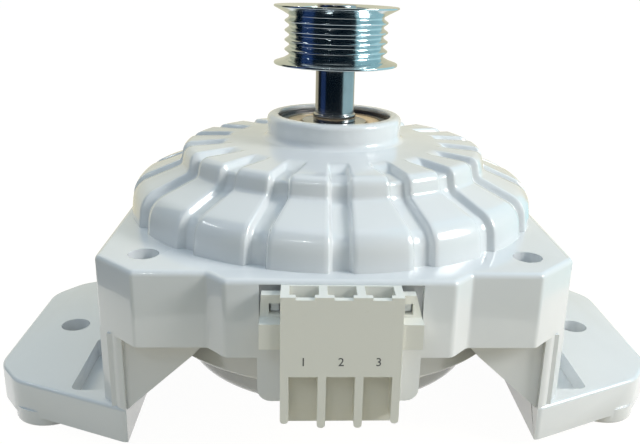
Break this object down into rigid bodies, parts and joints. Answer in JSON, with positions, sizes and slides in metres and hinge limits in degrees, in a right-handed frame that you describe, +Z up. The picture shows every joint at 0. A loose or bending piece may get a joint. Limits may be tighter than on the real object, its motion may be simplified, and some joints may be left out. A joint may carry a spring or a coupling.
{
  "type": "washing machine motor",
  "caption": "Resin-moulded belt-drive motor with a ribbed dome, bolt-down foot pads, a clip-on terminal block and a grooved belt pulley on its shaft.",
  "frame": {"origin": "on the shaft's axis, level with the top face of the square plate", "axes": "+Z up along the shaft towards the pulley, -Y towards the terminal block at the front, +X to the right foot pad"},
  "size_m": [0.1636, 0.114, 0.0974],
  "materials": {
    "white_moulding": "smooth moulded resin, slightly glossy",
    "cream_plastic": "fine matt",
    "zinc_plated_steel": "bright zinc plate with a faint iridescent passivation",
    "ground_steel": "ground",
    "bearing_steel": "polished",
    "cup_steel": "dark, as deep drawn",
    "shield_steel": "thin tan-brown plate",
    "screw_steel": "zinc plated",
    "tinned_brass": "tin plated",
    "lamination": "stacked electrical sheet",
    "green_insulator": "moulded nylon",
    "enamelled_wire": "enamelled copper winding",
    "magnet_ferrite": "ground ferrite",
    "hub_resin": "glass-filled resin",
    "spring_steel": "spring steel",
    "cage_nylon": "nylon"
  },
  "bodies": {
    "stator": {"motor_housing": "white_moulding", "housing_dome": "white_moulding", "foot_right": "white_moulding", "foot_left": "white_moulding", "lower_cover": "white_moulding", "cover_screws": "screw_steel", "connector_housing": "cream_plastic", "terminals": "tinned_brass", "stator_core": "lamination", "insulator_upper": "green_insulator", "insulator_lower": "green_insulator", "coils_phase_u": "enamelled_wire", "coils_phase_v": "enamelled_wire", "coils_phase_w": "enamelled_wire", "lead_guide_ring": "green_insulator", "neutral_ring": "tinned_brass", "bearing_cup": "cup_steel", "wave_washer": "spring_steel", "upper_outer_ring": "bearing_steel", "upper_shields": "shield_steel", "lower_outer_ring": "bearing_steel", "lower_shields": "shield_steel"},
    "rotor": {"shaft": "ground_steel", "pulley": "zinc_plated_steel", "rotor_core": "lamination", "rotor_magnets": "magnet_ferrite", "rotor_hub": "hub_resin", "retaining_rings": "spring_steel", "upper_inner_ring": "bearing_steel", "lower_inner_ring": "bearing_steel"},
    "upper_ball_set": {"upper_balls": "bearing_steel", "upper_cage": "cage_nylon"},
    "lower_ball_set": {"lower_balls": "bearing_steel", "lower_cage": "cage_nylon"}
  },
  "joints": [
    {"name": "rotor_spin", "type": "hinge", "parent": "stator", "child": "rotor", "pos_m": [0, 0, 0], "axis": [0, 0, 1], "continuous": true},
    {"name": "upper_cage_spin", "type": "hinge", "parent": "stator", "child": "upper_ball_set", "pos_m": [0, 0, 0.0178], "axis": [0, 0, 1], "continuous": true},
    {"name": "lower_cage_spin", "type": "hinge", "parent": "stator", "child": "lower_ball_set", "pos_m": [0, 0, -0.0329], "axis": [0, 0, 1], "continuous": true}
  ],
  "couplings": [
    {"joint": "upper_cage_spin", "follows": "rotor_spin", "ratio": 0.38095},
    {"joint": "lower_cage_spin", "follows": "rotor_spin", "ratio": 0.38095}
  ]
}
